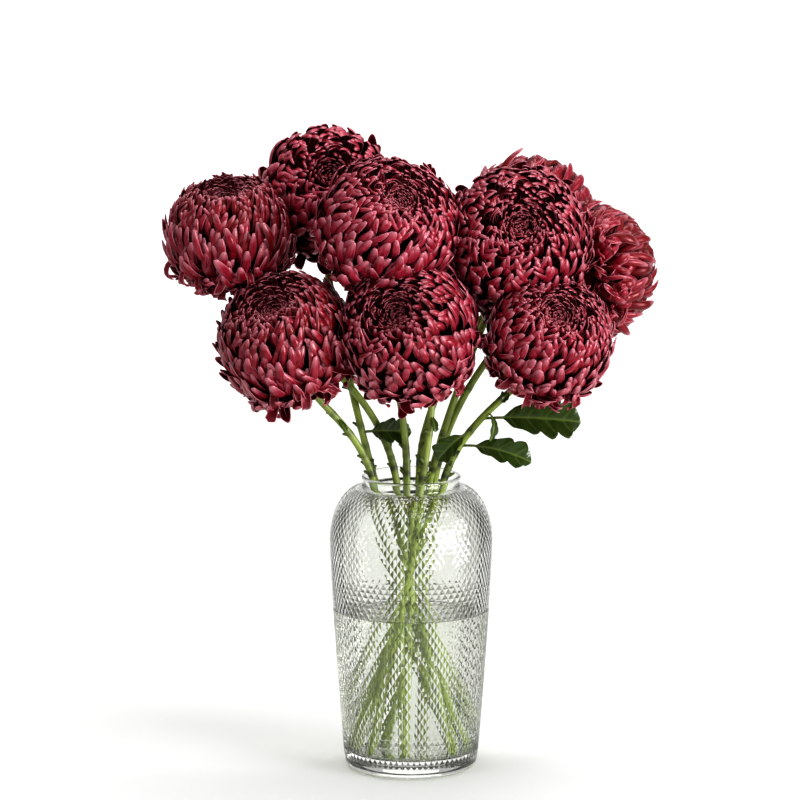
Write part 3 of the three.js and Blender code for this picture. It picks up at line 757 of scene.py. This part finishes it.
# Towards the root the outside deepens to dark red. This is partly the petal's own deep red base and partly
# painted shade where the petals lie deep between others.
above_shaded_base = add_node(tree, "ShaderNodeMapRange", {0: along_share, 1: 0.25, 2: 0.8})
outer_tone = add_node(tree, "ShaderNodeMix", {
    0: above_shaded_base.outputs[0], 6: linear(BASE_AND_GAP_SHADE), 7: streaked.outputs[2]}, data_type="RGBA")
inner_tone = add_node(tree, "ShaderNodeMix", {
    0: streaks.outputs[0], 6: linear(INSIDE_DEEP), 7: linear(INSIDE_PALE)}, data_type="RGBA")
faces_tone = add_node(tree, "ShaderNodeMix", {
    0: inside_face.outputs["Fac"], 6: outer_tone.outputs[2], 7: inner_tone.outputs[2]}, data_type="RGBA")
# A pale band along the edges. It is partly the petal's own pale margin and partly a painted highlight where
# the edges catch the light.
from_middle = add_node(tree, "ShaderNodeMath", {0: across_share}, operation="ABSOLUTE")
margin_and_highlight_share = add_node(tree, "ShaderNodeMapRange", {0: from_middle.outputs[0], 1: 0.8, 2: 1.0, 4: 0.7})
margined_and_highlighted = add_node(tree, "ShaderNodeMix", {
    0: margin_and_highlight_share.outputs[0], 6: faces_tone.outputs[2], 7: linear(MARGIN_AND_EDGE_HIGHLIGHT)}, data_type="RGBA")
# The tip is paler. This is partly the petal's own colour and partly a painted highlight where the curled
# tips catch the light.
tip_and_highlight_share = add_node(tree, "ShaderNodeMapRange", {0: along_share, 1: 0.88, 2: 1.0, 4: 0.5})
tipped_and_highlighted = add_node(tree, "ShaderNodeMix", {
    0: tip_and_highlight_share.outputs[0], 6: margined_and_highlighted.outputs[2], 7: linear(TIP_AND_HIGHLIGHT)}, data_type="RGBA")
veins_raised = add_node(tree, "ShaderNodeBump", {
    "Height": streaks.outputs[0], "Strength": 0.35, "Distance": 0.6 * MM})
roughness = add_node(tree, "ShaderNodeMapRange", {0: along_share, 1: 0.3, 2: 0.85, 3: 0.75, 4: 0.3})
shine = add_node(tree, "ShaderNodeMapRange", {0: along_share, 1: 0.3, 2: 0.85, 3: 0.1, 4: 0.8})
shine_tint = add_node(tree, "ShaderNodeMix", {
    0: tip_and_highlight_share.outputs[0], 6: linear(SHINE), 7: linear("#ffffff")}, data_type="RGBA")
shader = add_node(tree, "ShaderNodeBsdfPrincipled", {
    "Base Color": tipped_and_highlighted.outputs[2], "Roughness": roughness.outputs[0],
    "Specular IOR Level": shine.outputs[0], "Specular Tint": shine_tint.outputs[2],
    "Normal": veins_raised.outputs[0]})
tree.links.new(shader.outputs[0], output.inputs[0])

MIDDLES = {name: (np.array(flower[2], float), flower[4]) for name, flower in FLOWERS.items()}


def pressed(points, name):
    """Where two blooms meet, the petals of both lie back against a plane between them."""
    middle, radius = MIDDLES[name]
    for other, (other_middle, other_radius) in MIDDLES.items():
        if other == name:
            continue
        away = other_middle - middle
        distance = np.linalg.norm(away)
        away = away / distance
        limit = distance * radius / (radius + other_radius) + INTERLEAVED
        start = PRESS_START * limit
        over = np.maximum((points - middle) @ away - start, 0)
        room = limit - start
        points = points + (room * (1 - np.exp(-over / room)) - over)[..., None] * away
    return points


def petal_angles(radius, scale):
    """The angle of each petal's tip from the bloom's axis, packed by its width there, and that width."""
    degrees = np.linspace(0, LAST_PETAL_ANGLE, 1500)
    width = (WIDTH_AT_EYE + WIDENING * smooth_step(degrees, 0, WIDEST_FROM)) * radius / USUAL_RADIUS * scale
    turns = np.radians(degrees)
    cell = width[1:] ** 2 * (CELL_AT_EYE + CELL_GROWTH * smooth_step(degrees[1:], 20, 90))
    area = 2 * np.pi * (radius * 0.97) ** 2 * np.sin(turns[1:]) * np.diff(turns)
    count = np.concatenate([[0], np.cumsum(area / cell)])
    number = int(count[-1])
    tips = np.interp(np.arange(number) + 0.5, count, degrees)
    return tips, np.interp(tips, degrees, width)


def petal_curl(tips):
    """How many degrees further from the axis a petal's root is than its tip."""
    return (9 + 18 * smooth_step(tips, 12, 35) + 26 * smooth_step(tips, 35, 75)
            - 48 * smooth_step(tips, 84, 128))


def tip_reach(tips):
    """How far a petal's tip is from the bloom's middle, as a share of its radius."""
    return (0.58 + 0.42 * smooth_step(tips, 3, 38) - 0.15 * smooth_step(tips, 112, 160)) * 1.03


def bloom_mesh(name, seed):
    """All petals of a bloom, each point's place on its petal, and which points are on the inside."""
    middle, radius = MIDDLES[name]
    axis = unit(FLOWERS[name][3])
    draw = np.random.default_rng(seed)
    tips, width = petal_angles(radius, PETAL_SCALE.get(name, 1.0))
    number = len(tips)
    turn = GOLDEN_TURN * np.arange(number) + draw.normal(0, 0.05, number)
    loose = smooth_step(tips, LOOSE_FROM, LOOSE_BY)
    tips = tips + draw.normal(0, 1, number) * (1.2 + 4.5 * loose)
    curl = petal_curl(tips) + draw.normal(0, 1, number) * (2 + 6 * loose)
    hanging = (tips > HANGING_FROM) & (draw.random(number) < HANGING_SHARE)
    root = np.minimum(tips + np.where(hanging, HANGING_CURL, curl), DEEPEST_ROOT)
    reach = tip_reach(tips) * (1 - (0.05 + 0.06 * loose) * draw.random(number))
    stray = (draw.random(number) < STRAY_SHARE) & (tips > STRAY_FROM)
    reach = np.where(stray, reach + 0.04 + 0.06 * draw.random(number), reach)
    width = width * (1 + draw.normal(0, 0.1, number)) * np.where(hanging, 0.85, 1)
    # A petal's tone: random, paler on the outer petals, and shifted per bloom, which partly paints light
    # and shade.
    tone = (0.45 * draw.random(number) + 0.45 * smooth_step(tips, LOOSE_FROM, 120)
            + BLOOM_TONE_AND_PAINTED_LIGHT.get(name, 0.0))

    # The middle line, in the half plane through the axis: a cubic from the core to the tip.
    def spoke(degrees, share):
        angle = np.radians(degrees)
        return np.stack([np.sin(angle), np.cos(angle)], -1) * (share * radius)[:, None]

    corners = [spoke(root, ROOT_REACH * np.ones(number)), spoke(root, 0.78 * reach),
               spoke((tips + root) / 2, (1.03 + 0.08 * loose) * reach), spoke(tips, reach)]
    s = 1 - (1 - np.linspace(0, 1, PETAL_ROWS)) ** 1.5
    blend = np.stack([(1 - s) ** 3, 3 * (1 - s) ** 2 * s, 3 * (1 - s) * s ** 2, s ** 3])
    flat = sum(blend[k][None, :, None] * corners[k][:, None, :] for k in range(4))
    hook = width * draw.normal(0.2, 0.25, number)
    flat = flat * (1 - (hook / radius)[:, None] * np.clip((s - 0.7) / 0.3, 0, 1) ** 2)[..., None]
    flat[..., 1] *= FLAT_BLOOM.get(name, FLATTEN)
    way = np.gradient(flat, axis=1)
    way /= np.linalg.norm(way, axis=2, keepdims=True)

    # Across it, a petal is an arc. It is narrow at the root and blunt at the tip.
    blunt = (1 - 0.88 * np.clip((s - 0.72) / 0.28, 0, 1) ** 2.6) ** 0.55
    outline = (0.4 + 0.6 * smooth_step(s, 0.1, 0.75)) * blunt
    half = np.maximum(width[:, None] * 0.5 * outline[None], THINNEST_HALF_WIDTH)
    hollow = np.radians(PETAL_HOLLOW - 8 * smooth_step(s, 0.65, 1))[None]
    hollow = np.clip(hollow * (1 + 0.18 * draw.normal(0, 1, (number, 1))), 0.35, 1.45)
    u = np.linspace(-1, 1, PETAL_COLUMNS)
    bend = hollow[..., None] * u
    aside = half[..., None] * np.sin(bend) / np.sin(hollow)[..., None]
    lift = half[..., None] * (1 - np.cos(bend)) / np.sin(hollow)[..., None]
    thick = (EDGE_THICKNESS + MIDDLE_THICKNESS * (1 - u ** 2)) * np.minimum(half / 1.5, 1)[..., None]

    # The hollow side faces the axis: its normal is the middle line's, turned towards the eye.
    normal = np.stack([-way[..., 1], way[..., 0]], -1)
    side, other = square_to(axis)
    sweep = draw.normal(0.05, 0.16, number) / np.maximum(np.sin(np.radians(tips)), 0.35)
    swept = turn[:, None] + sweep[:, None] * s[None] ** 2
    out = side * np.cos(swept)[..., None] + other * np.sin(swept)[..., None]
    across = np.cross(axis, out)
    roll = np.radians(draw.normal(0, 8 + 10 * loose, number))[:, None, None]

    def skin(aside, lift):
        """The arc's points in space, from its offsets aside and towards the axis."""
        rolled_aside = aside * np.cos(roll) - lift * np.sin(roll)
        rolled_lift = aside * np.sin(roll) + lift * np.cos(roll)
        radial = flat[..., None, 0] + rolled_lift * normal[..., None, 0]
        height = flat[..., None, 1] + rolled_lift * normal[..., None, 1]
        return (radial[..., None] * out[:, :, None] + height[..., None] * axis
                + rolled_aside[..., None] * across[:, :, None])

    inner_skin = skin(aside - thick * np.sin(bend), lift + thick * np.cos(bend))
    rings = np.concatenate([skin(aside, lift), inner_skin[:, :, ::-1]], 2)
    # Loose petals sag, most of all the lowest.
    lowness = np.clip(-unit(rings[:, -1].mean(1))[:, 2], 0, 1)
    sag = radius * SAG.get(name, USUAL_SAG) * (0.06 + draw.random(number) ** 3) * loose * lowness
    rings[..., 2] -= sag[:, None, None] * s[None, :, None] ** 2
    points = pressed(rings.reshape(-1, 3) + middle, name)

    around = 2 * PETAL_COLUMNS
    column = np.arange(PETAL_COLUMNS - 1)
    end = np.stack([column, column + 1, around - 2 - column, around - 1 - column], -1)
    one = np.concatenate([grid_faces(PETAL_ROWS, around, closed=True),
                          end[:, ::-1], end + (PETAL_ROWS - 1) * around])
    faces = (one[None] + np.arange(number)[:, None, None] * PETAL_ROWS * around).reshape(-1, 4)

    spot = np.zeros((number, PETAL_ROWS, around, 3))
    spot[..., 0] = np.concatenate([u, u[::-1]])
    spot[..., 1] = s[None, :, None]
    spot[..., 2] = tone[:, None, None]
    inside = np.ones((number, PETAL_ROWS, around))
    inside[..., :PETAL_COLUMNS] = INSIDE_TONE * (1 - smooth_step(tips, 8, 30))[:, None, None]
    return points, faces, spot.reshape(-1, 3), inside.ravel()


for seed, name in enumerate(FLOWERS, 11):
    points, faces, spot, inside = bloom_mesh(name, seed)
    middle, radius = MIDDLES[name]
    axis = unit(FLOWERS[name][3])
    core = [[radius * 0.5 * math.sin(math.radians(degrees)),
             radius * (0.36 if degrees < 90 else 0.5) * math.cos(math.radians(degrees))]
            for degrees in CORE_ANGLES]
    core_points, core_faces = capped(turned(core, 32))
    core_points = pressed(core_points @ np.stack([*square_to(axis), axis]) + middle, name)
    all_points, all_faces = merge([(points, [faces]), (core_points, core_faces)])
    bloom = add_mesh("petals_" + name, all_points * MM, all_faces, petal_skin)
    spot = np.concatenate([spot, np.zeros((len(core_points), 3))])
    inside = np.concatenate([inside, np.ones(len(core_points))])
    bloom.data.attributes.new("petal_place", "FLOAT_VECTOR", "POINT").data.foreach_set(
        "vector", spot.astype(np.float32).ravel())
    bloom.data.attributes.new("inside", "FLOAT", "POINT").data.foreach_set(
        "value", inside.astype(np.float32))
    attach(bloom, "root")
    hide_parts("bloom_" + name)
